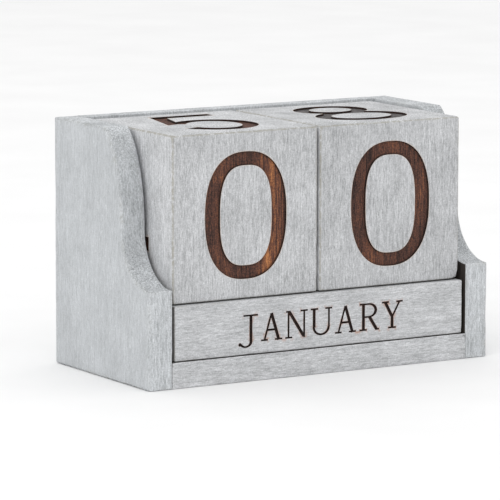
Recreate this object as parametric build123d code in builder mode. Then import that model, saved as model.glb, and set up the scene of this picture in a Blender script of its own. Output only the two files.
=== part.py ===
"""Perpetual block calendar: an open wooden tray, two number cubes and three month bars.

Millimetres, +Z up, the front faces -Y and +X is to the right. The origin is the centre
of the tray's underside. The cubes stand side by side on the three month bars, which lie
one behind the other on the tray's base. Every character is a shallow burnt engraving.
"""

from build123d import *
from math import atan2, ceil, cos, degrees, hypot, pi, sin
import os

INCH = 25.4

# Tray
tray_width = 5.4 * INCH
tray_depth = 2.6 * INCH
tray_height = 3.4 * INCH
side_board = 9.25           # thickness of the side panels
base_board = 9.0            # thickness of the base
back_board = 6.0            # thickness of the back panel
panel_edge = 1.0            # softened outer edges of the side panels
inner_edge = 0.3            # their edges towards the blocks, and where the other boards butt
board_edge = 0.3            # softened edges of the base and of the back panel

# Ogee front edge of a side panel: a round cove below, half of a tall oval above
shoulder = 33.7             # height of the straight front edge
cove = 18.4                 # radius of the cove
brow_reach = 17.0           # half width of the oval
brow_height = 36.0          # half height of the oval

# Month bars
bar = 18.9                  # side of the square section
bar_length = 116.6
bar_setback = 0.5           # front bar behind the tray's front
bar_edge = 0.5
bars = 3

# Number cubes
cube = 57.5
cube_gap = 0.8              # between the two cubes
cube_setback = 2.4          # cubes behind the tray's front
cube_edge = 0.9

rest_gap = 0.1              # air under a loose block, and under the cubes
digit_depth = 0.7
letter_depth = 0.5

front = -tray_depth / 2
back = tray_depth / 2
inner_width = tray_width - 2 * side_board
inner_back = back - back_board
bar_gap = (tray_depth - back_board - bar_setback - bars * bar) / bars
bar_bottom = base_board + rest_gap
cube_bottom = bar_bottom + bar + rest_gap


# ---------------------------------------------------------------- drawing the characters
def stroke(x0, y0, x1, y1, width):
    """A straight stroke with square ends between two points of the open sketch."""
    with Locations(((x0 + x1) / 2, (y0 + y1) / 2)):
        Rectangle(hypot(x1 - x0, y1 - y0), width, rotation=degrees(atan2(y1 - y0, x1 - x0)))


def bowl(cx, cy, rx, ry, start, end, side, cap):
    """A stretch of an oval ring, `side` wide at its flanks and `cap` wide above and below."""
    pieces = ceil((end - start) / 180)
    step = (end - start) / pieces
    for i in range(pieces):
        with BuildLine() as outline:
            outer = EllipticalCenterArc((cx, cy), rx, ry, start + i * step, arc_size=step)
            inner = EllipticalCenterArc(
                (cx, cy), rx - side, ry - cap, start + i * step, arc_size=step
            )
            Line(outer @ 0, inner @ 0)
            Line(outer @ 1, inner @ 1)
        make_face(outline.edges())


def quad(*corners):
    """A filled outline with straight sides."""
    with BuildLine() as outline:
        Polyline(*corners, close=True)
    make_face(outline.edges())


def squared_oval(a, b, power, mode=Mode.ADD):
    """A superellipse: an oval with fuller shoulders than an ellipse."""
    count = 48
    turns = [2 * pi * i / count for i in range(count)]

    def full(value, radius):
        return radius * (abs(value) ** (2 / power)) * (1 if value >= 0 else -1)

    with BuildLine() as outline:
        Spline(*[(full(cos(t), a), full(sin(t), b)) for t in turns], periodic=True)
    make_face(outline.edges(), mode=mode)


# ---------------------------------------------------------------- digits, centred on a cube's face
digit_half = 21.8           # half the height of a digit
digit_side = 5.9            # width of an upright stroke
digit_cap = 4.7             # width of a level stroke
level = digit_half - digit_cap / 2
upper = (10.6, 11.2)        # height of the centre and half height of the upper bowl
lower = (-9.2, 12.6)        # the same of the lower bowl


def digit_0():
    squared_oval(16.1, digit_half, 2.4)
    squared_oval(16.1 - digit_side, digit_half - digit_cap, 2.75, mode=Mode.SUBTRACT)


def digit_1():
    stroke(2.0, -digit_half, 2.0, digit_half, digit_side)
    quad((-0.95, digit_half), (-10.6, 13.6), (-8.1, 10.2), (-0.95, 16.0))


def digit_2():
    bowl(-0.8, 9.5, 14.0, 12.3, -25, 150, digit_side, digit_cap)
    quad((11.88, 4.3), (6.54, 6.29), (-14.5, -17.2), (-7.1, -17.2))
    stroke(-14.5, -level, 15.0, -level, digit_cap)


def digit_3():
    bowl(-2.0, upper[0], 13.6, upper[1], -90, 138, digit_side, digit_cap)
    bowl(-2.0, lower[0], 15.6, lower[1], -140, 90, digit_side, digit_cap)
    middle = (upper[0] - upper[1] + lower[0] + lower[1]) / 2
    stroke(-7.5, middle, -2.0, middle, digit_cap)


def digit_4():
    quad((-5.8, digit_half), (-16.4, -8.4), (-10.2, -8.4), (0.4, digit_half))
    stroke(-16.4, -9.8, 12.5, -9.8, digit_cap)
    stroke(-2.0, -digit_half, -2.0, digit_half, digit_side)


def digit_5():
    stroke(-8.9, level, 14.2, level, digit_cap)
    quad((-8.9, digit_half), (-3.2, digit_half), (-8.9, 0.2), (-14.6, -1.6))
    bowl(0.4, -6.9, 15.4, 14.9, -157, 148, digit_side, digit_cap)


def digit_6():
    bowl(3.5, -4.0, 19.3, 25.8, 72, 190, digit_side, digit_cap)
    bowl(0.0, -7.6, 15.8, 14.2, 0, 360, digit_side, digit_cap)


def digit_7():
    stroke(-14.6, level, 15.0, level, digit_cap)
    quad((15.0, 17.8), (8.4, 17.8), (-8.2, -digit_half), (-1.8, -digit_half))


def digit_8():
    bowl(0.0, upper[0], 13.8, upper[1], 0, 360, digit_side, digit_cap)
    bowl(0.4, lower[0], 17.2, lower[1], 0, 360, digit_side, digit_cap)


# ---------------------------------------------------------------- serif capitals for the months
cap_height = 9.6
thick = 1.15
thin = 0.72
slab = 0.6                  # thickness of a serif
foot = slab / 2
head = cap_height - slab / 2
waist = cap_height / 2
letter_space = 1.2
baseline = -5.2             # from the middle of a bar's face

UPRIGHT = ("stroke", 1.9, 0, 1.9, cap_height, thick)
LEFT_SERIFS = (("stroke", 0.3, foot, 3.3, foot, slab), ("stroke", 0.3, head, 3.3, head, slab))
LEFT_STEM = (UPRIGHT, *LEFT_SERIFS)

# Each letter: its width, then its strokes from the pen's start on the baseline
LETTERS = {
    "A": (8.5, ("stroke", 1.3, 0, 4.15, 9.4, thin), ("stroke", 7.1, 0, 4.2, 9.4, thick),
          ("stroke", 2.4, 3.7, 6.0, 3.7, thin),
          ("stroke", 0, foot, 2.7, foot, slab), ("stroke", 5.6, foot, 8.5, foot, slab)),
    "B": (7.5, *LEFT_STEM, ("stroke", 1.9, 5.05, 4.0, 5.05, thin),
          ("stroke", 1.9, head, 4.0, head, slab), ("stroke", 1.9, foot, 4.0, foot, slab),
          ("bowl", 3.9, 7.2, 2.9, 2.4, -90, 90, thick, slab),
          ("bowl", 3.9, 2.65, 3.5, 2.65, -90, 90, thick, slab)),
    "C": (8.2, ("bowl", 4.4, waist, 4.4, 4.9, 42, 318, thick, slab),
          ("stroke", 7.75, 6.6, 7.75, 9.5, slab)),
    "D": (8.7, *LEFT_STEM, ("stroke", 1.9, head, 4.0, head, slab),
          ("stroke", 1.9, foot, 4.0, foot, slab),
          ("bowl", 3.9, waist, 4.7, waist, -90, 90, thick, slab)),
    "E": (7.5, *LEFT_STEM, ("stroke", 1.9, head, 6.8, head, slab),
          ("stroke", 1.9, foot, 7.2, foot, slab), ("stroke", 1.9, 5.0, 5.4, 5.0, slab),
          ("stroke", 6.55, 7.3, 6.55, 9.6, slab), ("stroke", 6.95, 0, 6.95, 2.5, slab),
          ("stroke", 5.2, 3.9, 5.2, 6.1, slab)),
    "F": (7.0, *LEFT_STEM, ("stroke", 1.9, head, 6.8, head, slab),
          ("stroke", 1.9, 5.0, 5.4, 5.0, slab), ("stroke", 6.55, 7.3, 6.55, 9.6, slab),
          ("stroke", 5.2, 3.9, 5.2, 6.1, slab)),
    "G": (9.0, ("bowl", 4.4, waist, 4.4, 4.9, 42, 318, thick, slab),
          ("stroke", 7.75, 6.6, 7.75, 9.5, slab), ("stroke", 7.3, 0.6, 7.3, 4.2, thick),
          ("stroke", 5.8, 4.2, 8.9, 4.2, slab)),
    "H": (9.3, *LEFT_STEM, ("stroke", 7.4, 0, 7.4, cap_height, thick),
          ("stroke", 6.0, foot, 9.0, foot, slab), ("stroke", 6.0, head, 9.0, head, slab),
          ("stroke", 1.9, 5.0, 7.4, 5.0, thin)),
    "I": (3.6, *LEFT_STEM),
    "J": (7.9, ("stroke", 5.1, 0.3, 5.1, cap_height, thick), ("stroke", 2.1, head, 7.9, head, slab),
          ("bowl", 2.98, 0.3, 2.7, 2.05, 205, 360, thick, slab), ("ball", 0.75, -0.55, 0.6)),
    "L": (7.2, *LEFT_STEM, ("stroke", 1.9, foot, 7.0, foot, slab),
          ("stroke", 6.75, 0, 6.75, 2.6, slab)),
    "M": (10.6, ("stroke", 1.7, 0, 1.7, cap_height, thin), ("stroke", 1.9, 9.4, 5.3, 0.5, thick),
          ("stroke", 5.3, 0.5, 8.6, 9.4, thin), ("stroke", 8.9, 0, 8.9, cap_height, thick),
          ("stroke", 0.2, foot, 3.0, foot, slab), ("stroke", 0.2, head, 2.2, head, slab),
          ("stroke", 7.4, foot, 10.4, foot, slab), ("stroke", 8.4, head, 10.4, head, slab)),
    "N": (9.0, ("stroke", 1.3, 0, 1.3, cap_height, thin), ("stroke", 1.5, 9.4, 7.4, 0.4, thick),
          ("stroke", 7.6, 0, 7.6, cap_height, thin), ("stroke", 0, foot, 2.8, foot, slab),
          ("stroke", 0.3, head, 2.0, head, slab), ("stroke", 6.1, head, 9.0, head, slab)),
    "O": (8.8, ("bowl", 4.4, waist, 4.4, 4.9, 0, 360, thick, slab)),
    "P": (7.2, *LEFT_STEM, ("stroke", 1.9, head, 4.0, head, slab),
          ("stroke", 1.9, 4.6, 4.0, 4.6, slab),
          ("bowl", 3.9, 6.95, 3.2, 2.65, -90, 90, thick, slab)),
    "R": (8.3, *LEFT_STEM, ("stroke", 1.9, head, 4.2, head, slab),
          ("stroke", 1.9, 4.8, 4.2, 4.8, slab),
          ("bowl", 4.1, 7.05, 3.4, 2.55, -90, 90, thick, slab),
          ("stroke", 4.3, 4.9, 7.2, 0.4, thick), ("stroke", 6.7, foot, 8.3, foot, slab)),
    "S": (6.8, ("bowl", 3.4, 7.1, 3.0, 2.6, 42, 265, thick, slab),
          ("bowl", 3.4, 2.4, 3.2, 2.5, -140, 92, thick, slab),
          ("stroke", 6.0, 6.9, 6.0, 9.5, slab), ("stroke", 0.7, 0.1, 0.7, 2.8, slab)),
    "T": (8.2, ("stroke", 4.1, 0, 4.1, cap_height, thick), ("stroke", 0.3, head, 7.9, head, slab),
          ("stroke", 2.6, foot, 5.6, foot, slab), ("stroke", 0.5, 7.2, 0.5, 9.6, slab),
          ("stroke", 7.7, 7.2, 7.7, 9.6, slab)),
    "U": (8.7, ("stroke", 1.4, 2.9, 1.4, cap_height, thick), ("stroke", 7.4, 2.9, 7.4, cap_height, thin),
          ("bowl", 4.275, 3.0, 3.45, 3.0, 180, 360, 0.9, thin),
          ("stroke", 0, head, 3.0, head, slab), ("stroke", 5.9, head, 8.7, head, slab)),
    "V": (8.8, ("stroke", 1.4, 9.4, 4.4, 0.2, thick), ("stroke", 7.4, 9.4, 4.6, 0.2, thin),
          ("stroke", 0, head, 2.9, head, slab), ("stroke", 6.1, head, 8.8, head, slab)),
    "Y": (8.6, ("stroke", 1.3, 9.4, 4.1, 4.3, thick), ("stroke", 7.3, 9.4, 4.4, 4.3, thin),
          ("stroke", 4.2, 0, 4.2, 4.8, thick), ("stroke", 0, head, 2.8, head, slab),
          ("stroke", 5.9, head, 8.6, head, slab), ("stroke", 2.6, foot, 5.8, foot, slab)),
}


def letter(name, pen):
    """One capital, drawn from the pen's place on the baseline."""
    for kind, x, y, *sizes in LETTERS[name][1:]:
        if kind == "stroke":
            x1, y1, width = sizes
            stroke(pen + x, baseline + y, pen + x1, baseline + y1, width)
        elif kind == "bowl":
            bowl(pen + x, baseline + y, *sizes)
        else:
            with Locations((pen + x, baseline + y)):
                Circle(sizes[0])


def word(text):
    """A month's name, centred on the open sketch."""
    widths = [LETTERS[name][0] for name in text]
    pen = -(sum(widths) + letter_space * (len(text) - 1)) / 2
    for name, width in zip(text, widths):
        letter(name, pen)
        pen += width + letter_space


# ---------------------------------------------------------------- loose blocks
def face_plane(centre, half, normal, right):
    """The plane of a block's face: `normal` points out of it, and characters read along `right`."""
    origin = [c + half * n for c, n in zip(centre, normal)]
    return Plane(origin=tuple(origin), x_dir=right, z_dir=normal)


DIGITS = [digit_0, digit_1, digit_2, digit_3, digit_4, digit_5, digit_6, digit_7, digit_8]
CUBE_FACES = {
    "front": ((0, -1, 0), (1, 0, 0)),
    "top": ((0, 0, 1), (1, 0, 0)),
    "left": ((-1, 0, 0), (0, -1, 0)),
    "right": ((1, 0, 0), (0, 1, 0)),
    "back": ((0, 1, 0), (-1, 0, 0)),
    "bottom": ((0, 0, -1), (1, 0, 0)),
}
# A bar is rolled to bring the next month to the front, so every name reads along +X
BAR_FACES = [(0, -1, 0), (0, 0, 1), (0, 1, 0), (0, 0, -1)]


def number_cube(name, x, digits):
    """A cube with a digit on each face, standing on the month bars."""
    centre = (x, front + cube_setback + cube / 2, cube_bottom + cube / 2)
    with BuildPart() as block:
        with Locations(centre):
            Box(cube, cube, cube)
        fillet(block.edges(), cube_edge)
        for side, digit in digits.items():
            normal, right = CUBE_FACES[side]
            with BuildSketch(face_plane(centre, cube / 2, normal, right)):
                DIGITS[digit]()
            extrude(amount=-digit_depth, mode=Mode.SUBTRACT)
    block.part.label = name
    export_step(block.part, f"parts/{name}.step")


def month_bar(name, place, months):
    """A square bar with a month on each long face; place 0 is the front one."""
    centre = (0, front + bar_setback + bar / 2 + place * (bar + bar_gap), bar_bottom + bar / 2)
    with BuildPart() as block:
        with Locations(centre):
            Box(bar_length, bar, bar)
        fillet(block.edges(), bar_edge)
        for normal, month in zip(BAR_FACES, months):
            with BuildSketch(face_plane(centre, bar / 2, normal, (1, 0, 0))):
                word(month)
            extrude(amount=-letter_depth, mode=Mode.SUBTRACT)
    block.part.label = name
    export_step(block.part, f"parts/{name}.step")


# ---------------------------------------------------------------- tray
def side_panel(name, side):
    """A side panel, full depth and height, with its ogee front edge; side is -1 or +1."""
    outer = side * tray_width / 2
    with BuildPart() as panel:
        with BuildSketch(Plane.YZ.offset(outer - (side_board if side > 0 else 0))):
            with BuildLine():
                joint = shoulder + cove
                edge = CenterArc((front, joint), cove, -90, 90)
                brow = EllipticalCenterArc(
                    (front + cove + brow_reach, joint),
                    brow_reach,
                    brow_height,
                    180 - brow_sweep(),
                    arc_size=brow_sweep(),
                )
                Line(brow @ 0, (back, tray_height))
                Line((back, tray_height), (back, 0))
                Line((back, 0), (front, 0))
                Line((front, 0), edge @ 0)
            make_face()
        extrude(amount=side_board)
        inner_face = panel.faces().sort_by(Axis.X)[-1 if side < 0 else 0]
        fillet(inner_face.edges(), inner_edge)
        outer_face = panel.faces().sort_by(Axis.X)[0 if side < 0 else -1]
        fillet(outer_face.edges(), panel_edge)
    panel.part.label = name
    export_step(panel.part, f"parts/{name}.step")


def brow_sweep():
    """The angle of the oval, from its foremost point to where it meets the panel's top."""
    rise = (tray_height - shoulder - cove) / brow_height
    return degrees(atan2(rise, (1 - rise**2) ** 0.5))


def board_between(name, centre, size):
    """A plain board fitted between the side panels, with softened long edges."""
    with BuildPart() as plank:
        with Locations(centre):
            Box(*size)
        fillet(plank.edges().filter_by(Axis.X), board_edge)
    plank.part.label = name
    export_step(plank.part, f"parts/{name}.step")


os.makedirs("parts", exist_ok=True)

side_panel("left_side_panel", -1)
side_panel("right_side_panel", 1)
board_between(
    "back_panel",
    (0, back - back_board / 2, tray_height / 2),
    (inner_width, back_board, tray_height),
)
board_between(
    "base_panel",
    (0, (front + inner_back) / 2, base_board / 2),
    (inner_width, inner_back - front, base_board),
)

cube_x = (cube + cube_gap) / 2
number_cube(
    "left_number_cube", -cube_x,
    {"front": 0, "top": 5, "left": 4, "right": 3, "back": 1, "bottom": 2},
)
number_cube(
    "right_number_cube", cube_x,
    {"front": 0, "top": 8, "left": 2, "right": 7, "back": 6, "bottom": 1},
)

month_bar("front_month_bar", 0, ["JANUARY", "FEBRUARY", "MARCH", "APRIL"])
month_bar("middle_month_bar", 1, ["MAY", "JUNE", "JULY", "AUGUST"])
month_bar("rear_month_bar", 2, ["SEPTEMBER", "OCTOBER", "NOVEMBER", "DECEMBER"])
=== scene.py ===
"""Looks of the block calendar: washed wooden boards, number cubes and month bars with burnt engraving.

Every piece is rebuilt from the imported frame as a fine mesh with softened, slightly worn edges.
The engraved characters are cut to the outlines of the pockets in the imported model.
"""

from itertools import product
import math

import bmesh
import bpy
import numpy as np
from mathutils import Matrix, Vector
from mathutils.geometry import delaunay_2d_cdt


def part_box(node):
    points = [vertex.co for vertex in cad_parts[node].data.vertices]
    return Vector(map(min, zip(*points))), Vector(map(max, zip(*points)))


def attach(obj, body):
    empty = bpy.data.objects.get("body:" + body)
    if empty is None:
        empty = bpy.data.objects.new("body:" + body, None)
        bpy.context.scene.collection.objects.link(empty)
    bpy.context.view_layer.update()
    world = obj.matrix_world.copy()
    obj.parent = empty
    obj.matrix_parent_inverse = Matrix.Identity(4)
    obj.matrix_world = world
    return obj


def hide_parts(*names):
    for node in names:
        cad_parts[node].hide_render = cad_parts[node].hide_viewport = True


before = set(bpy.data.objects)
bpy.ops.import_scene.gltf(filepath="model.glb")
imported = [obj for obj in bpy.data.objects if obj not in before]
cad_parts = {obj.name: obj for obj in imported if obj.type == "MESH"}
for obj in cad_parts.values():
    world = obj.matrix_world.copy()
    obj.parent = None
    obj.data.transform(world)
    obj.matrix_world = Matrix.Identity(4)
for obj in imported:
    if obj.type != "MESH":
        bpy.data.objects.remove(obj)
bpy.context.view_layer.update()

MM = 0.001                  # the frame is in metres, and the sizes below are in millimetres
GRID = 1.1                  # length of a mesh cell on a flat face
ROUND_STEPS = 4             # cells across a rounded edge
ROUND_ANGLES = np.linspace(0, math.pi / 2, ROUND_STEPS + 1)
POCKET_DEPTHS = (0.3, 1.0)  # the floors of the engraving lie between these depths
TOUCH = 1e-3                # points closer than this are one point
TINY = 1e-9                 # keeps a division by a length away from zero
X, Y, Z = range(3)

# What a point of a surface carries for the material, each from 0 to 1
MARKS = (
    "edge",                 # part of a softened edge
    "rim",                  # on the outline of an engraving
    "raw",                  # inside the tray, where painted shade goes
    "band",                 # the narrow face around a side panel
)


# ------------------------------------------------------------------ random surface detail
HASH_FACTORS = (73856093, 19349663, 83492791)       # these scatter the number of a lattice point
SEED_FACTOR, STIR_FACTOR = 6542989, 1274126177
SEED_SHIFT = 17.3                                   # each seed reads another stretch of the lattice


def lattice_noise(points, cell, seed):
    """Smooth random values from 0 to 1 at points in mm; `cell` is the size of a cell along X, Y, Z."""
    place = points / np.asarray(cell, float) + SEED_SHIFT * seed
    base = np.floor(place).astype(np.int64)
    part = place - base
    part = part * part * (3 - 2 * part)
    value = np.zeros(len(points))
    for corner in product((0, 1), repeat=3):
        x, y, z = ((base + corner) * HASH_FACTORS).T
        mixed = x ^ y ^ z ^ (seed * SEED_FACTOR)
        mixed = ((mixed ^ (mixed >> 13)) * STIR_FACTOR) & 0xFFFFFFFF
        share = np.prod(np.where(corner, part, 1 - part), axis=1)
        value += share * ((mixed >> 8) & 0xFFFF) / 0xFFFF
    return value


def along_grain(grain, across, along):
    """A feature's size along X, Y and Z, where the grain runs along one of them."""
    return tuple(along if axis == grain else across for axis in range(3))


def surface_wear(places, edges, grain, seed):
    """How far the surface lies inside the sawn one, in mm: faint grain, and edges rubbed down unevenly."""
    ridge_depth, wave_depth, rub_depth, dent_depth = 0.02, 0.03, 0.09, 0.20
    dents_above = 0.66
    ridges = lattice_noise(places, along_grain(grain, 1.6, 26.0), seed)
    waves = lattice_noise(places, (14.0, 14.0, 14.0), seed + 1)
    rubbed = lattice_noise(places, (3.4, 3.4, 3.4), seed + 2)
    dented = lattice_noise(places, (5.5, 5.5, 5.5), seed + 3)
    dents = np.clip(dented - dents_above, 0, 1) / (1 - dents_above)
    return ridge_depth * ridges + wave_depth * waves + edges * (rub_depth * rubbed + dent_depth * dents)


# ------------------------------------------------------------------ collecting a surface
class Skin:
    """Points and faces of one closed surface, in mm, with what the wear and the material need.

    A point has the way out of the wood and its marks. A face has how deeply it is burnt.
    """

    def __init__(self):
        self.points, self.outs, self.marks = [], [], []
        self.faces, self.burns = [], []

    def point(self, place, out, **marks):
        self.points.append(place)
        self.outs.append(out)
        self.marks.append([marks.get(mark, 0.0) for mark in MARKS])
        return len(self.points) - 1

    def face(self, corners, burn=0.0):
        self.faces.append(corners)
        self.burns.append(burn)

    def strip_grid(self, rows):
        """Quads between neighbouring rows of point numbers."""
        for low, high in zip(rows, rows[1:]):
            for i in range(len(low) - 1):
                self.face((low[i], low[i + 1], high[i + 1], high[i]))

    def build(self, name, grain, seed, knocks=(), dim=0.0):
        """The finished mesh object: welded, worn and with its attributes.

        Each knock is a dent: its centre, reach and depth in mm. `dim` is how much duller the
        piece's wash is, from 0 to 1.
        """
        bm = bmesh.new()
        source = bm.verts.layers.int.new("source")
        burnt = bm.faces.layers.float.new("burn")
        made = []
        for number, place in enumerate(self.points):
            vert = bm.verts.new(place)
            vert[source] = number
            made.append(vert)
        for corners, burn in zip(self.faces, self.burns):
            bm.faces.new([made[i] for i in corners])[burnt] = burn
        bmesh.ops.remove_doubles(bm, verts=bm.verts, dist=TOUCH)
        bmesh.ops.dissolve_degenerate(bm, edges=bm.edges, dist=TOUCH / 10)
        # a sliver that went can leave a hole of three edges
        bmesh.ops.holes_fill(bm, edges=[e for e in bm.edges if e.is_boundary], sides=4)
        bmesh.ops.recalc_face_normals(bm, faces=bm.faces)

        kept = [v[source] for v in bm.verts]
        places = np.array([v.co for v in bm.verts])
        outs = np.array(self.outs, float)[kept]
        marks = np.array(self.marks)[kept]
        wear = surface_wear(places, marks[:, MARKS.index("edge")], grain, seed)
        for centre, reach, depth in knocks:
            near = np.clip(1 - np.linalg.norm(places - centre, axis=1) / reach, 0, 1)
            wear += depth * near * near * (3 - 2 * near)
        for vert, place in zip(bm.verts, (places - outs * wear[:, None]) * MM):
            vert.co = place
        bm.verts.layers.int.remove(source)

        mesh = bpy.data.meshes.new(name)
        bm.to_mesh(mesh)
        bm.free()
        carried = dict(zip(MARKS, marks.T))
        carried["end"] = np.abs(outs[:, grain])         # how far it is end grain
        carried["up"] = outs[:, Z]                      # and how far it looks up
        carried["left"] = -outs[:, X]                   # or to the left
        carried["dim"] = np.full(len(outs), dim)
        for mark, values in carried.items():
            mesh.attributes.new(mark, "FLOAT", "POINT").data.foreach_set("value", values.astype(np.float32))
        piece = bpy.data.objects.new(name, mesh)
        bpy.context.scene.collection.objects.link(piece)
        return piece


# ------------------------------------------------------------------ outlines read from the frame
def box_mm(node):
    """The lowest and highest corner of a node, in mm."""
    return [np.array(corner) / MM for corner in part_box(node)]


def chain_loops(edges):
    """Closed loops of point numbers from unordered edges that meet two at a point."""
    links = {}
    for a, b in edges:
        links.setdefault(a, []).append(b)
        links.setdefault(b, []).append(a)
    loops = []
    while links:
        loop = [next(iter(links))]
        while True:
            onward = [n for n in links[loop[-1]] if len(loop) < 2 or n != loop[-2]][0]
            if onward == loop[0]:
                break
            loop.append(onward)
        for n in loop:
            del links[n]
        loops.append(loop)
    return loops


def flat_outlines(node, axis, sign, nearest, farthest):
    """Outlines, in mm, of a node's flat faces that look along an axis, and how deep they lie.

    Only faces between `nearest` and `farthest` mm inside the node's box are read.
    """
    low, high = box_mm(node)
    level = high[axis] if sign > 0 else low[axis]
    bm = bmesh.new()
    bm.from_mesh(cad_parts[node].data)
    bmesh.ops.remove_doubles(bm, verts=bm.verts, dist=TOUCH * MM)
    chosen = set()
    for face in bm.faces:
        depth = (level - face.calc_center_median()[axis] / MM) * sign
        if face.normal[axis] * sign > 0.999 and nearest <= depth <= farthest:
            chosen.add(face)
    rim = [e for e in bm.edges if sum(f in chosen for f in e.link_faces) == 1]
    loops = chain_loops([(e.verts[0].index, e.verts[1].index) for e in rim])
    places = {v.index: np.array(v.co) / MM for e in rim for v in e.verts}
    outlines = [np.array([places[i] for i in loop]) for loop in loops]
    bm.free()
    depth = abs(level - outlines[0][0][axis]) if outlines else 0.0
    return outlines, depth


def turn_cosines(loop):
    """The cosine of the turn at each point of a closed outline."""
    ahead = np.roll(loop, -1, 0) - loop
    behind = loop - np.roll(loop, 1, 0)
    lengths = np.linalg.norm(ahead, axis=1) * np.linalg.norm(behind, axis=1)
    return (ahead * behind).sum(1) / np.maximum(lengths, TINY)


def rounder(loop, straight=0.93, shortest=0.45):
    """The outline with a middle point added to each long step of its curves; corners stay sharp."""
    dead_straight = 0.99999
    turns = turn_cosines(loop)
    smooth, bent = turns > straight, turns < dead_straight
    count = len(loop)
    fuller = []
    for i, place in enumerate(loop):
        ahead = (i + 1) % count
        fuller.append(place)
        curved = smooth[i] and smooth[ahead] and (bent[i] or bent[ahead])
        if curved and np.linalg.norm(loop[ahead] - place) > shortest:
            fuller.append((9 * (place + loop[ahead]) - loop[i - 1] - loop[(i + 2) % count]) / 16)
    return np.array(fuller)


def divided(loop, longest):
    """The outline with its long straight steps divided."""
    fuller = []
    for place, following in zip(loop, np.roll(loop, -1, 0)):
        steps = max(1, math.ceil(np.linalg.norm(following - place) / longest))
        fuller.extend(place + (following - place) * k / steps for k in range(steps))
    return np.array(fuller)


def inside(points, loops):
    """For each 2-D point, whether it lies inside an odd number of the loops."""
    crossings = np.zeros(len(points), int)
    x, y = points.T
    for loop in loops:
        for (x0, y0), (x1, y1) in zip(loop, np.roll(loop, -1, 0)):
            if y0 == y1:
                continue
            spans = (y0 > y) != (y1 > y)
            crossings += spans & (x < (x1 - x0) * (y - y0) / (y1 - y0) + x0)
    return crossings % 2 == 1


def distance_to(points, loops):
    """The distance from each 2-D point to the nearest outline."""
    nearest = np.full(len(points), 1e9)
    for loop in loops:
        for a, b in zip(loop, np.roll(loop, -1, 0)):
            step = b - a
            share = np.clip(((points - a) @ step) / max(step @ step, TINY), 0, 1)
            nearest = np.minimum(nearest, np.linalg.norm(points - a - share[:, None] * step, axis=1))
    return nearest


def triangulate(border, outlines, fillers):
    """Triangles that fill a 2-D border, with edges along the outlines and points at the fillers."""
    merged_within = 1e-5
    corners, edges = [], []
    for loop in [border, *outlines]:
        start = len(corners)
        corners.extend(Vector(p) for p in loop)
        edges.extend((start + i, start + (i + 1) % len(loop)) for i in range(len(loop)))
    corners.extend(Vector(p) for p in fillers)
    points, _, faces, *_ = delaunay_2d_cdt(corners, edges, [], 0, merged_within)
    points = np.array([tuple(p) for p in points])
    faces = np.array(list(faces))
    return points, faces[inside(points[faces].mean(1), [border])]


def ticks(low, high):
    """Evenly spaced positions of the grid lines between two ends."""
    return np.linspace(low, high, max(1, round((high - low) / GRID)) + 1)


def jittered(grid_u, grid_v, seed):
    """Points near the crossings of the inner grid lines, each moved a little at random."""
    most = 0.25             # of a mesh cell
    rng = np.random.default_rng(seed)
    u, v = np.meshgrid(grid_u[1:-1], grid_v[1:-1])
    points = np.column_stack([u.ravel(), v.ravel()])
    return points + rng.uniform(-most, most, points.shape) * GRID


# ------------------------------------------------------------------ a rounded block, engraved
def offset_points(outlines, gap, wanted):
    """Points beside the outlines at a distance, on the inner side of the engraving or outside it."""
    closest, crowded, lately = 0.9, 0.3, 40     # shares of the gap, and how many points are compared
    found = []
    for loop in outlines:
        along = np.roll(loop, -1, 0) - loop
        middle = loop + along / 2
        normal = np.column_stack([along[:, 1], -along[:, 0]])
        normal /= np.maximum(np.linalg.norm(normal, axis=1), TINY)[:, None]
        found += [middle + normal * gap, middle - normal * gap]
    points = np.vstack(found)
    points = points[inside(points, outlines) == wanted]
    points = points[distance_to(points, outlines) > closest * gap]
    kept = []
    for point in points:
        if all(abs(point - other).max() > crowded * gap for other in kept[-lately:]):
            kept.append(point)
    return np.array(kept).reshape(-1, 2)


def engraved_face(skin, place_at, out, grids, outlines, depth, burn, seed):
    """A flat face whose outlines are cut down to pockets with upright walls."""
    grid_u, grid_v = grids
    border = np.array(
        [(u, grid_v[0]) for u in grid_u[:-1]]
        + [(grid_u[-1], v) for v in grid_v[:-1]]
        + [(u, grid_v[-1]) for u in grid_u[:0:-1]]
        + [(grid_u[0], v) for v in grid_v[:0:-1]]
    )
    halo, char = 0.35, 0.8      # mesh points follow the outline this far outside and inside it
    clear = 0.95                # and the other ones stay this far away
    fillers = jittered(grid_u, grid_v, seed)
    fillers = fillers[distance_to(fillers, outlines) > clear]
    for gap, wanted in ((halo, False), (char, True)):
        fillers = np.vstack([fillers, offset_points(outlines, gap, wanted)])
    points, faces = triangulate(border, outlines, fillers)
    cut = inside(points[faces].mean(1), outlines)
    on_rim = distance_to(points, outlines) < TOUCH

    top, floor, sides = {}, {}, {}
    for face, is_cut in zip(faces, cut):
        level = floor if is_cut else top
        for i in face:
            if i not in level:
                sunk = depth if is_cut else 0.0
                level[i] = skin.point(place_at(points[i], sunk), out, rim=float(on_rim[i]))
        skin.face(tuple(level[i] for i in face), burn * float(is_cut))
        for a, b in zip(face, np.roll(face, -1)):
            sides.setdefault((min(a, b), max(a, b)), []).append(bool(is_cut))
    for (a, b), cuts in sides.items():
        if len(cuts) == 2 and cuts[0] != cuts[1]:
            skin.face((top[a], top[b], floor[b], floor[a]), 1.0)


def softness(angle):
    """How strongly a rounded edge wears, by the angle over it: most in the middle."""
    return 0.35 + 0.65 * math.sin(2 * angle)


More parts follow.
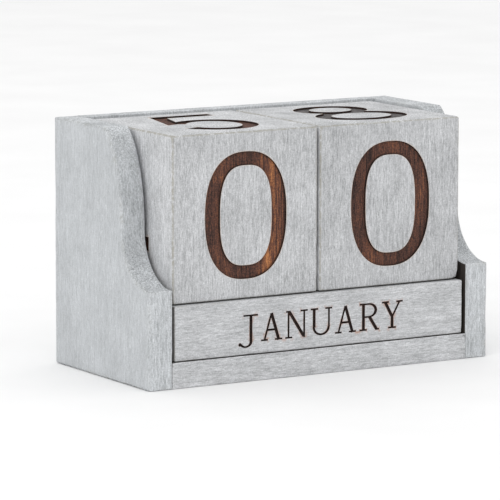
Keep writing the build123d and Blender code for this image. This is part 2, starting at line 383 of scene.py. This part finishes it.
def round_edges(skin, inner, grids, radius):
    """Quarter rounds along the twelve edges of a block, about the edges of its inner box."""
    unit = np.eye(3)
    for axis in range(3):
        a, b = (axis + 1) % 3, (axis + 2) % 3
        for sign_a, sign_b in product((-1, 1), repeat=2):
            start = np.zeros(3)
            start[a], start[b] = inner[sign_a > 0][a], inner[sign_b > 0][b]
            rows = []
            for angle in ROUND_ANGLES:
                out = math.cos(angle) * sign_a * unit[a] + math.sin(angle) * sign_b * unit[b]
                row = []
                for t in grids[axis]:
                    place = start + t * unit[axis] + radius * out
                    row.append(skin.point(place, out, edge=softness(angle)))
                rows.append(row)
            skin.strip_grid(rows)


def round_corners(skin, inner, radius):
    """Eighths of a ball on the corners of a block's inner box.

    Each is made of rows, the first one point and the last a quarter circle.
    """
    for signs in product((-1, 1), repeat=3):
        core = np.where(np.array(signs) > 0, inner[1], inner[0])
        rows = []
        for i, tilt in enumerate(ROUND_ANGLES):
            row = []
            for j in range(i + 1):
                swing = math.pi / 2 * j / max(i, 1)
                out = np.array(signs) * (
                    math.cos(tilt),
                    math.sin(tilt) * math.cos(swing),
                    math.sin(tilt) * math.sin(swing),
                )
                row.append(skin.point(core + radius * out, out, edge=1.0))
            rows.append(row)
        for i in range(ROUND_STEPS):
            for j in range(i + 1):
                skin.face((rows[i][j], rows[i + 1][j], rows[i + 1][j + 1]))
                if j < i:
                    skin.face((rows[i][j], rows[i + 1][j + 1], rows[i][j + 1]))


def rounded_block(name, node, radius, grain, seed, burns, knocks=(), dim=0.0):
    """A block with rounded edges and corners and engraved faces, filling its CAD node's box.

    `burns` gives how deeply the engraving of a face is burnt, by axis and sign; the rest have 1.
    """
    low, high = box_mm(node)
    inner = low + radius, high - radius
    grids = [ticks(inner[0][a], inner[1][a]) for a in range(3)]
    skin = Skin()

    for axis, sign in product(range(3), (-1, 1)):
        u, v = (axis + 1) % 3, (axis + 2) % 3
        level = high[axis] if sign > 0 else low[axis]

        def place_at(point, sunk, axis=axis, sign=sign, u=u, v=v, level=level):
            place = np.zeros(3)
            place[u], place[v] = point
            place[axis] = level - sign * sunk
            return place

        found, depth = flat_outlines(node, axis, sign, *POCKET_DEPTHS)
        outlines = [rounder(rounder(loop))[:, (u, v)] for loop in found]
        out = sign * np.eye(3)[axis]
        if outlines:
            burn = burns.get((axis, sign), 1.0)
            engraved_face(skin, place_at, out, (grids[u], grids[v]), outlines, depth, burn, seed + axis)
        else:
            rows = [[skin.point(place_at((a, b), 0.0), out) for a in grids[u]] for b in grids[v]]
            skin.strip_grid(rows)

    round_edges(skin, inner, grids, radius)
    round_corners(skin, inner, radius)
    return skin.build(name, grain, seed, knocks, dim)


# ------------------------------------------------------------------ a board with a shaped outline
class Outline:
    """A closed outline seen along X, whose stations can be drawn in by any distance.

    A sharp corner of the outline becomes a few stations on a small arc, `soften` mm in radius.
    """

    SHARP_TURN = math.radians(30)
    ARC_STEPS = 3

    def __init__(self, node, sign, soften):
        low, high = box_mm(node)
        self.lowest, self.highest = low[1:], high[1:]
        found, _ = flat_outlines(node, X, sign, -10 * TOUCH, 10 * TOUCH)
        loop = max(found, key=len)[:, 1:]
        margin = loop[:, 0].min() - low[Y]
        following = np.roll(loop, -1, 0)
        if (loop[:, 0] * following[:, 1] - loop[:, 1] * following[:, 0]).sum() < 0:
            loop = loop[::-1]
        loop = divided(rounder(loop), GRID)

        ahead = np.roll(loop, -1, 0) - loop
        ahead /= np.linalg.norm(ahead, axis=1)[:, None]
        sides = np.column_stack([ahead[:, 1], -ahead[:, 0]])
        self.corners, self.mitres, self.normals, self.radii = [], [], [], []
        for place, before, after in zip(loop, np.roll(sides, 1, 0), sides):
            mitre = (before + after) / (1 + before @ after)
            sharp = before @ after < math.cos(self.SHARP_TURN)
            steps = self.ARC_STEPS if sharp else 0
            for k in range(steps + 1):
                share = k / steps if steps else 0.5
                normal = before * (1 - share) + after * share
                self.corners.append(place + mitre * margin)
                self.mitres.append(mitre)
                self.normals.append(normal / np.linalg.norm(normal))
                self.radii.append(soften if sharp else 0.0)

    def drawn_in(self, distance):
        """The stations' places at a distance inside the outline, none of them outside the node's box."""
        places = [
            corner - mitre * max(distance, radius) + normal * max(radius - distance, 0.0)
            for corner, mitre, normal, radius in zip(self.corners, self.mitres, self.normals, self.radii)
        ]
        return np.clip(places, self.lowest, self.highest)


def shaped_board(name, node, radii, inner_sign, raw_sides, grain, seed):
    """A board seen along X by its outline, with its own edge radius at its low and at its high X end.

    `inner_sign` is the end whose flat face shows the board's outline nearly in full. The function
    given for the sides tells, from a point's way out, whether it gets painted shade inside the tray.
    """
    flat_rim, sharp_corner, seam_rim = 0.35, 0.8, 0.3       # how strongly these wear
    low, high = box_mm(node)
    outline = Outline(node, inner_sign, soften=0.4)

    def end_section(level, radius, sign):
        """Stations over the rounded edge of one end, from its flat face to the band.

        Each has its X, how far it is drawn in, its way out along X and sideways, and its wear.
        """
        if not radius:
            return [(level, 0.0, 0.0, 1.0, seam_rim)]
        return [
            (level - sign * radius * (1 - math.cos(t)), radius * (1 - math.sin(t)),
             sign * math.cos(t), math.sin(t), softness(t))
            for t in ROUND_ANGLES
        ]

    section = end_section(low[X], radii[0], -1)
    section += [(x, 0.0, 0.0, 1.0, 0.0) for x in ticks(low[X] + radii[0], high[X] - radii[1])[1:-1]]
    section += end_section(high[X], radii[1], 1)[::-1]

    skin = Skin()
    rows = []
    for x, inset, out_x, out_side, soft in section:
        row = []
        for place, normal, radius in zip(outline.drawn_in(inset), outline.normals, outline.radii):
            out = (out_x, out_side * normal[0], out_side * normal[1])
            edge = max(soft, sharp_corner if radius else 0.0)
            row.append(skin.point((x, *place), out, edge=edge, band=out_side, raw=raw_sides(out)))
        rows.append([*row, row[0]])
    skin.strip_grid(rows)

    grids = [ticks(low[a], high[a]) for a in (Y, Z)]
    fillers = jittered(*grids, seed)
    for level, radius, sign in ((low[X], radii[0], -1), (high[X], radii[1], 1)):
        drawn = outline.drawn_in(radius)
        behind = [drawn[-1], *drawn]
        border = np.array([p for p, q in zip(drawn, behind) if np.linalg.norm(p - q) > TOUCH])
        kept = fillers[inside(fillers, [border]) & (distance_to(fillers, [border]) > 0.6 * GRID)]
        points, faces = triangulate(border, [], kept)
        rims = distance_to(points, [border]) < TOUCH
        out = (sign, 0.0, 0.0)
        raw = raw_sides(out)
        numbers = [
            skin.point((level, *place), out, edge=flat_rim * on_rim, raw=raw)
            for place, on_rim in zip(points, rims)
        ]
        for face in faces:
            skin.face(tuple(numbers[i] for i in face))
    return skin.build(name, grain, seed)


# ------------------------------------------------------------------ materials
class Shader:
    """A short way to lay out the nodes of one material."""

    def __init__(self, name):
        self.material = bpy.data.materials.new(name)
        self.material.use_nodes = True
        self.tree = self.material.node_tree
        self.surface = self.tree.nodes["Principled BSDF"]

    def node(self, kind, values=(), **settings):
        made = self.tree.nodes.new(kind)
        for key, value in settings.items():
            setattr(made, key, value)
        for key, value in dict(values).items():
            if isinstance(value, bpy.types.NodeSocket):
                self.tree.links.new(value, made.inputs[key])
            else:
                made.inputs[key].default_value = value
        return made

    def math(self, operation, a, b=0.0):
        return self.node("ShaderNodeMath", {0: a, 1: b}, operation=operation).outputs[0]

    def times(self, a, b):
        return self.math("MULTIPLY", a, b)

    def swung(self, factor, gain, middle=0.5):
        """The factor's swing about one half, times a gain, about another middle."""
        return self.math("ADD", self.times(self.math("SUBTRACT", factor, 0.5), gain), middle)

    def blend(self, *parts):
        """The sum of factors, each with its weight."""
        total = 0.0
        for factor, weight in parts:
            total = self.math("ADD", total, self.times(factor, weight))
        return total

    def attribute(self, name):
        return self.node("ShaderNodeAttribute", attribute_name=name).outputs["Fac"]

    def noise(self, cell, detail=2.0, roughness=0.5, shift=0.0, distortion=0.0):
        """Noise over the piece itself; `cell` is the size of its features in mm along X, Y and Z."""
        place = self.node("ShaderNodeTexCoord").outputs["Object"]
        scale = tuple(1 / (size * MM) for size in cell)
        mapped = self.node("ShaderNodeMapping", {"Vector": place, "Scale": scale, "Location": (shift,) * 3})
        values = {
            "Vector": mapped.outputs[0], "Scale": 1.0, "Detail": detail,
            "Roughness": roughness, "Distortion": distortion,
        }
        return self.node("ShaderNodeTexNoise", values).outputs["Fac"]

    def ramp(self, factor, stops):
        made = self.node("ShaderNodeValToRGB", {"Fac": factor})
        elements = made.color_ramp.elements
        while len(elements) < len(stops):
            elements.new(0.5)
        for element, (position, colour) in zip(elements, stops):
            element.position = position
            element.color = (*colour, 1.0)
        return made.outputs["Color"]

    def level(self, factor, low, high):
        """The factor stretched so that low becomes 0 and high becomes 1."""
        values = {"Value": factor, "From Min": low, "From Max": high}
        return self.node("ShaderNodeMapRange", values, clamp=True).outputs["Result"]

    def between(self, factor, a, b):
        """A number between two others."""
        return self.node("ShaderNodeMix", {0: factor, 2: a, 3: b}, data_type="FLOAT").outputs[0]

    def mix(self, factor, a, b):
        """A colour between two others."""
        made = self.tree.nodes.new("ShaderNodeMix")
        made.data_type = "RGBA"
        for socket, value in ((made.inputs[0], factor), (made.inputs[6], a), (made.inputs[7], b)):
            if isinstance(value, bpy.types.NodeSocket):
                self.tree.links.new(value, socket)
            elif isinstance(value, tuple):
                socket.default_value = (*value, 1.0)
            else:
                socket.default_value = value
        return made.outputs[2]

    def lightness(self, colour, value):
        """The colour made lighter or darker."""
        return self.node("ShaderNodeHueSaturation", {"Value": value, "Color": colour}).outputs[0]


def tinted(tone, colour):
    """A colour times a tone, which is one number or one for each of red, green and blue."""
    return tuple(float(c) for c in np.multiply(tone, colour))


def tinted_stops(tone, stops):
    return [(position, tinted(tone, colour)) for position, colour in stops]


# Colours by the strength of a pattern, from its darkest stretches to its lightest
WASH = (
    (0.34, (0.300, 0.306, 0.312)),
    (0.44, (0.425, 0.432, 0.441)),
    (0.52, (0.518, 0.525, 0.537)),
    (0.60, (0.610, 0.617, 0.632)),
    (0.72, (0.760, 0.767, 0.782)),
)
# Near-black painted shade for deep inside the tray, with a faint grain.
INNER_SHADE = ((0.35, (0.020, 0.017, 0.015)), (0.65, (0.058, 0.047, 0.040)))
CHAR = (
    (0.34, (0.014, 0.008, 0.007)),
    (0.45, (0.058, 0.029, 0.023)),
    (0.55, (0.118, 0.050, 0.034)),
    (0.65, (0.225, 0.088, 0.043)),
)
EMBER = (0.82, (0.560, 0.235, 0.085))       # the lightest stretches of the char, which aren't toned
ASH = ((0.38, (0.035, 0.034, 0.034)), (0.52, (0.105, 0.104, 0.106)), (0.66, (0.21, 0.208, 0.206)))

FLECK, PIT = (0.80, 0.81, 0.82), (0.27, 0.27, 0.27)
RUBBED, BRIGHT, BARE = (0.36, 0.35, 0.31), (0.70, 0.705, 0.70), (0.33, 0.315, 0.27)
# The second colour here is near-black painted shade for the foot of lower edges.
END_GRAIN, FOOT_SHADE, SOOT = (0.52, 0.50, 0.47), (0.022, 0.020, 0.019), (0.010, 0.007, 0.006)

# Heights and depths in mm, each from where one look begins to give way to where the next is whole
curve_foot = (36.0, 42.0)                           # up a side panel's front edge, from no painted shade to full painted shade
inner_shade_top = (44.0, 62.0)                           # up the inside of the tray, from painted shade to none
back_front, base_top = box_mm("back_panel")[0][Y], box_mm("base_panel")[1][Z]
raw_back = (back_front + 0.5, back_front + 1.5)     # into the back panel, from painted shade to none
raw_foot = (base_top - 1.5, base_top - 0.5)         # up through the base panel, from no painted shade to painted shade


class WashedWood(Shader):
    """Wood under a thin grey-white wash, with burnt engraving where the piece has it.

    `washed` gives the first colour, and each later coat takes the colour so far and gives the
    next one. `shift` sets where the noise is read, so that no two materials look alike.
    """

    def __init__(self, name, grain, shift, tone, waviness):
        super().__init__(name)
        self.grain, self.shift, self.tone = grain, shift, tone
        place = self.node("ShaderNodeTexCoord").outputs["Object"]
        self.x, self.y, self.z = self.node("ShaderNodeSeparateXYZ", {0: place}).outputs
        self.edge, self.rim, self.band = (self.attribute(mark) for mark in ("edge", "rim", "band"))
        self.burn, self.up = self.attribute("burn"), self.attribute("up")
        self.end = self.level(self.attribute("end"), 0.25, 0.8)

        fine = self.streaks(0.32, 4.0, shift=0, detail=4.0, roughness=0.7, distortion=waviness)
        self.lines = self.streaks(0.85, 14.0, shift=5, detail=3.0, roughness=0.6, distortion=waviness)
        brush = self.streaks(0.45, 2.2, shift=33, detail=3.0, roughness=0.65, distortion=0.6)
        self.broad = self.streaks(3.2, 30.0, shift=9, detail=2.0, roughness=0.5, distortion=0.4)
        self.cloud = self.spots(11.0, shift=13, detail=3.0, roughness=0.55)
        self.speck = self.spots(0.5, shift=17, detail=3.0, roughness=0.7)
        self.brushed = self.blend((fine, 0.42), (self.lines, 0.20), (brush, 0.38))
        mottle = self.blend((self.speck, 0.82), (self.cloud, 0.18))
        self.grainy = self.between(self.end, self.brushed, mottle)
        self.burn_fine = self.streaks(0.28, 3.6, shift=25, detail=4.0, roughness=0.75)

    def streaks(self, across, along, shift, detail, roughness, distortion=0.0):
        """Noise drawn out along the grain; sizes in mm."""
        cell = along_grain(self.grain, across, along)
        return self.noise(cell, detail, roughness, self.shift + shift, distortion)

    def spots(self, size, shift, detail, roughness):
        """Noise of the same size in mm all ways."""
        return self.noise((size,) * 3, detail, roughness, self.shift + shift)

    def washed(self, contrast):
        """The wash itself, streaky along the grain and mottled on end grain."""
        band_contrast = max(contrast, 2.0)
        parts = (self.grainy, 0.62), (self.speck, 0.24), (self.broad, 0.05), (self.cloud, 0.09)
        pattern = self.blend(*parts)
        pattern = self.swung(pattern, self.between(self.band, contrast, band_contrast))
        return self.ramp(pattern, tinted_stops(self.tone, WASH))

    def toned_and_lit_by_side(self, wash, top_painted_light_tone, left_painted_light_tone, end_tone):
        """A duller wash on a piece marked so, painted light and shade that make top and left faces lighter
        or darker, and another tone on end grain.
        """
        duller = 0.955
        wash = self.mix(self.attribute("dim"), wash, self.lightness(wash, duller))
        # Painted light and shade: faces that look up or to the left get a tone for how light falls on them.
        for facing, tone in ((self.up, top_painted_light_tone), (self.attribute("left"), left_painted_light_tone)):
            if tone != 1.0:
                wash = self.mix(self.level(facing, 0.35, 0.85), wash, self.lightness(wash, tone))
        if end_tone != 1.0:
            wash = self.mix(self.end, wash, self.mix(0.85, wash, tinted(end_tone, END_GRAIN)))
        return wash

    def flecked(self, wash):
        """Light flecks of thick wash and dark open pores, in clouds."""
        fleck = self.streaks(0.38, 1.5, shift=41, detail=2.0, roughness=0.6)
        light = self.times(self.level(fleck, 0.62, 0.72), self.level(self.cloud, 0.35, 0.60))
        wash = self.mix(self.times(light, 0.65), wash, tinted(self.tone, FLECK))
        dark = self.times(self.level(fleck, 0.38, 0.28), self.level(self.cloud, 0.62, 0.40))
        return self.mix(self.times(dark, 0.55), wash, tinted(self.tone, PIT))

    def worn(self, wash, bare_ridge, foot_shade_strength):
        """Edges rubbed brown or bright in places, bare along their ridge, and painted shade at the foot of
        those that look down.
        """
        scuffs = self.spots(1.6, shift=21, detail=4.0, roughness=0.7)
        patches = self.level(self.spots(9.0, shift=23, detail=2.0, roughness=0.5), 0.40, 0.62)
        rubbed = self.times(self.times(self.edge, patches), self.level(scuffs, 0.42, 0.66))
        wash = self.mix(self.times(rubbed, 0.7), wash, tinted(self.tone, RUBBED))
        bright = self.times(self.edge, self.level(scuffs, 0.50, 0.32))
        wash = self.mix(self.times(bright, 0.35), wash, tinted(self.tone, BRIGHT))
        if bare_ridge:
            ridge = self.times(self.level(self.edge, 0.60, 0.95), self.level(scuffs, 0.36, 0.54))
            wash = self.mix(self.times(ridge, bare_ridge), wash, tinted(self.tone, BARE))
        # Painted shade: near-black along the lower edges, where a piece meets what it stands on.
        foot_shade = self.times(self.level(self.edge, 0.30, 0.50), self.level(self.up, -0.35, -0.70))
        return self.mix(self.times(foot_shade, foot_shade_strength), wash, FOOT_SHADE)

    def scorched(self, wash, strengths, colour):
        """A warm halo round the engraving, patchy between two strengths."""
        patchy = self.level(self.spots(4.5, shift=47, detail=2.0, roughness=0.6), 0.42, 0.58)
        halo = self.times(self.level(self.rim, 0.30, 0.95), self.between(patchy, *strengths))
        return self.mix(halo, wash, colour)

    def shaded_on_curve(self, wash):
        """Painted shade on the steep upper stretch of a board's narrow face."""
        shade_tone = 0.88
        # Painted shade where the narrow face turns forward, high up beside the cubes.
        curve = self.times(self.band, self.level(self.z, curve_foot[0] * MM, curve_foot[1] * MM))
        curve = self.times(curve, self.level(self.up, 0.9, 0.6))
        return self.mix(curve, wash, self.lightness(wash, shade_tone))

    def raw_inside(self, wash):
        """Painted shade, nearly black, deep inside the tray, with streaks at its upper limit."""
        stroke_length = 45.0 * MM
        brushed_height = self.swung(self.lines, stroke_length, self.z)
        deep = self.level(brushed_height, inner_shade_top[1] * MM, inner_shade_top[0] * MM)
        before_back = self.level(self.y, raw_back[1] * MM, raw_back[0] * MM)
        above_base = self.level(self.z, raw_foot[0] * MM, raw_foot[1] * MM)
        enclosed = self.times(before_back, above_base)
        # Painted shade: near-black inside the tray, where little light reaches.
        inner_shade_mask = self.times(self.attribute("raw"), self.times(deep, enclosed))
        return self.mix(inner_shade_mask, wash, self.ramp(self.brushed, INNER_SHADE))

    def burnt(self, wash, char_tone, soft_bands):
        """Charred engraving: ashen where it is burnt less deeply, and black with soot at its rim."""
        streak = self.streaks(0.9, 20.0, shift=27, detail=2.0, roughness=0.55)
        patch = self.streaks(5.5, 22.0, shift=29, detail=1.0, roughness=0.5)
        heat = self.blend((self.burn_fine, 0.42), (streak, 0.16), (patch, 0.12), (self.speck, 0.30))
        heat = self.swung(heat, 1.65, 0.49)

        wander = 9.0 * MM           # how far a soft band strays across the grain
        across = self.swung(patch, wander, self.x)
        upright = self.math("SUBTRACT", 1.0, self.end)
        for centre, half_width, strength in soft_bands:
            away = self.math("ABSOLUTE", self.math("SUBTRACT", across, centre * MM))
            ring = self.level(away, half_width * MM, 0.35 * half_width * MM)
            streaky = self.times(ring, self.level(streak, 0.36, 0.62))
            heat = self.math("ADD", heat, self.times(self.times(streaky, upright), strength))

        char = self.ramp(heat, [*tinted_stops(char_tone, CHAR), EMBER])
        ashen = self.times(self.level(self.burn, 0.98, 0.70), self.level(self.burn, 0.30, 0.60))
        char = self.mix(ashen, char, self.ramp(heat, ASH))
        char = self.mix(self.times(self.level(self.rim, 0.35, 1.0), 0.75), char, SOOT)
        return self.mix(self.level(self.burn, 0.02, 0.60), wash, char)

    def finished(self, colour):
        """The material: its colour, a matte grain and a fine relief."""
        inputs = self.surface.inputs
        rough = self.blend((1.0, 0.60), (self.grainy, 0.24), (self.burn, 0.12))
        relief = self.between(self.burn, self.blend((self.grainy, 0.8), (self.speck, 0.2)), self.burn_fine)
        bump = self.node("ShaderNodeBump", {"Height": relief, "Strength": 0.7, "Distance": 0.16 * MM})
        self.tree.links.new(colour, inputs["Base Color"])
        self.tree.links.new(rough, inputs["Roughness"])
        self.tree.links.new(bump.outputs[0], inputs["Normal"])
        inputs["Specular IOR Level"].default_value = 0.3
        return self.material


def washed_wood(
    name, grain, shift, tone, contrast, waviness=0.0,
    top_painted_light_tone=1.0, left_painted_light_tone=1.0, end_tone=1.0, bare_ridge=0.0, foot_shade_strength=0.0,
    char_tone=1.0, halo_strengths=(0.40, 0.65), halo_colour=(0.72, 0.55, 0.42), soft_bands=(),
):
    """A material of washed wood, coat by coat.

    `soft_bands` are the X places, half widths and strengths of soft growth rings, which burn lighter.
    """
    wood = WashedWood(name, grain, shift, tone, waviness)
    colour = wood.washed(contrast)
    colour = wood.toned_and_lit_by_side(colour, top_painted_light_tone, left_painted_light_tone, end_tone)
    colour = wood.flecked(colour)
    colour = wood.worn(colour, bare_ridge, foot_shade_strength)
    colour = wood.scorched(colour, halo_strengths, halo_colour)
    colour = wood.shaded_on_curve(colour)
    colour = wood.raw_inside(colour)
    colour = wood.burnt(colour, char_tone, soft_bands)
    return wood.finished(colour)


# ------------------------------------------------------------------ pieces
SHARP_RIM = math.radians(38)            # faces that meet at more than this keep a crisp edge


def finish_piece(piece, material, node, body):
    """Material, smooth shading with sharp pocket rims, and the piece's place in the object."""
    piece.data.materials.append(material)
    piece.data.shade_smooth()
    piece.data.set_sharp_from_angle(angle=SHARP_RIM)
    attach(piece, body)
    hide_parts(node)


# Edge radii in mm; a side panel has one outside and one inside
panel_edge, seam_edge = 1.0, 0.3
cube_edge, bar_edge = 0.9, 0.5
chip_reach, chip_depth = 3.6, 0.8       # of the right cube's chipped corner

left_box, right_box = box_mm("left_number_cube"), box_mm("right_number_cube")
left_middle = (left_box[0][X] + left_box[1][X]) / 2
right_middle = (right_box[0][X] + right_box[1][X]) / 2

# The panels' upward faces are darkened a little here as painted shade.
panel_wood = washed_wood(
    "tray_upright_wood", Z, 1.0, tone=(1.015, 1.037, 1.045), contrast=1.1, top_painted_light_tone=0.93,
)
base_wood = washed_wood("tray_level_wood", X, 2.0, tone=1.01, contrast=1.9, waviness=0.5)
# The cubes' tops and left faces are lightened here as painted light, and the foot of their edges gets
# painted shade.
cube_wood = washed_wood(
    "cube_wood", Z, 3.0, tone=1.0, contrast=1.9,
    top_painted_light_tone=1.06, left_painted_light_tone=1.13, bare_ridge=0.75, foot_shade_strength=0.9,
    soft_bands=((left_middle + 11.0, 4.2, 0.16), (right_middle - 5.0, 4.0, 0.05)),
)
# The bars' lower edges get a lighter painted shade at their foot.
bar_wood = washed_wood(
    "bar_wood", X, 4.0, tone=1.025, contrast=1.8, waviness=0.9, end_tone=0.35, foot_shade_strength=0.4,
    char_tone=0.55, halo_strengths=(0.08, 0.75), halo_colour=(0.42, 0.22, 0.14),
)


# Which ways a point of a board may look and still get painted shade inside the tray
def towards_back(out):
    """All sides of the back panel but its rear and its top."""
    return float(out[Y] < 0.2 and out[Z] < 0.9)


def towards_base(out):
    """All sides of the base panel but its front and its underside."""
    return float(out[Y] > -0.2 and out[Z] > -0.2)


for number, (side, inner) in enumerate((("left", 1), ("right", -1))):

    def towards_blocks(out, inner=inner):
        """The inner face of a side panel."""
        return float(out[X] * inner > 0.99)

    radii = (panel_edge, seam_edge) if inner > 0 else (seam_edge, panel_edge)
    node = f"{side}_side_panel"
    piece = shaped_board(f"{side}_panel_wood", node, radii, inner, towards_blocks, Z, 11 + number)
    finish_piece(piece, panel_wood, node, "tray")

for node, wood, raw_sides, grain, seed in (
    ("back_panel", panel_wood, towards_back, Z, 21),
    ("base_panel", base_wood, towards_base, X, 23),
):
    piece = shaped_board(f"{node}_wood", node, (0, 0), 1, raw_sides, grain, seed)
    finish_piece(piece, wood, node, "tray")

ashy_top = {(Z, 1): 0.74}
front_foot = (right_box[1][X], right_box[0][Y], right_box[0][Z])
chipped_corner = [(front_foot, chip_reach, chip_depth)]
cubes = (("left", 31, {}, [], 0.0), ("right", 38, ashy_top, chipped_corner, 1.0))
for side, seed, burns, knocks, dim in cubes:
    node = f"{side}_number_cube"
    piece = rounded_block(f"{side}_cube_wood", node, cube_edge, Z, seed, burns, knocks, dim)
    finish_piece(piece, cube_wood, node, f"{side}_cube")

for number, place in enumerate(("front", "middle", "rear")):
    node = f"{place}_month_bar"
    piece = rounded_block(f"{place}_bar_wood", node, bar_edge, X, 51 + 7 * number, {})
    finish_piece(piece, bar_wood, node, f"{place}_bar")


# ------------------------------------------------------------------ stage, lights and camera
def floor():
    """A pale floor, wide enough to fill the view, a hair's breadth under the object."""
    half, drop, lines = 6.0, 0.05 * MM, 9
    places = np.linspace(-half, half, lines)
    bm = bmesh.new()
    rows = [[bm.verts.new((x, y, -drop)) for x in places] for y in places]
    for near, far in zip(rows, rows[1:]):
        for i in range(len(places) - 1):
            bm.faces.new((near[i], near[i + 1], far[i + 1], far[i]))
    mesh = bpy.data.meshes.new("floor")
    bm.to_mesh(mesh)
    bm.free()
    stage = bpy.data.objects.new("floor", mesh)
    bpy.context.scene.collection.objects.link(stage)
    paper = Shader("pale_paper")
    cloud = paper.noise((60.0, 60.0, 60.0), detail=2.0)
    colour = paper.ramp(cloud, [(0.3, (0.90, 0.90, 0.90)), (0.7, (0.93, 0.93, 0.93))])
    paper.tree.links.new(colour, paper.surface.inputs["Base Color"])
    paper.surface.inputs["Roughness"].default_value = 0.9
    paper.surface.inputs["Specular IOR Level"].default_value = 0.1
    mesh.materials.append(paper.material)


def soft_light(name, place, size, power):
    """A square area light that faces the middle of the object."""
    light = bpy.data.lights.new(name, "AREA")
    light.size = size
    light.energy = power
    lamp = bpy.data.objects.new(name, light)
    lamp.location = place
    aim = Vector((0, 0, 40 * MM)) - Vector(place)
    lamp.rotation_euler = aim.to_track_quat("-Z", "Y").to_euler()
    bpy.context.scene.collection.objects.link(lamp)


def white_sky(strength):
    """Even light from all round."""
    world = bpy.data.worlds.new("studio")
    world.use_nodes = True
    sky = world.node_tree.nodes["Background"]
    sky.inputs["Color"].default_value = (1, 1, 1, 1)
    sky.inputs["Strength"].default_value = strength
    bpy.context.scene.world = world


def camera():
    """A long lens from the left front, a little above the object."""
    azimuth, elevation, roll = (math.radians(a) for a in (-31.08, 8.42, 0.08))
    distance = 1.3981
    target = Vector((-0.00909, 0.0, 0.03951))
    flat = math.cos(elevation)
    back = Vector((math.sin(azimuth) * flat, -math.cos(azimuth) * flat, math.sin(elevation)))
    right = Vector((0, 0, 1)).cross(back).normalized()
    up = back.cross(right)
    turned_right = right * math.cos(roll) + up * math.sin(roll)
    turned_up = up * math.cos(roll) - right * math.sin(roll)
    lens = bpy.data.cameras.new("camera")
    lens.sensor_width = 36.0
    lens.lens = 288.9
    lens.clip_end = 20.0
    view = bpy.data.objects.new("camera", lens)
    matrix = Matrix((turned_right, turned_up, back)).transposed().to_4x4()
    matrix.translation = target + back * distance
    view.matrix_world = matrix
    bpy.context.scene.collection.objects.link(view)
    bpy.context.scene.camera = view


floor()
soft_light("key", (-1.0, -0.9, 1.1), 1.2, 5.0)
soft_light("top", (0.0, 0.2, 1.6), 1.6, 3.0)
white_sky(0.95)
bpy.context.scene.view_settings.view_transform = "Standard"
camera()
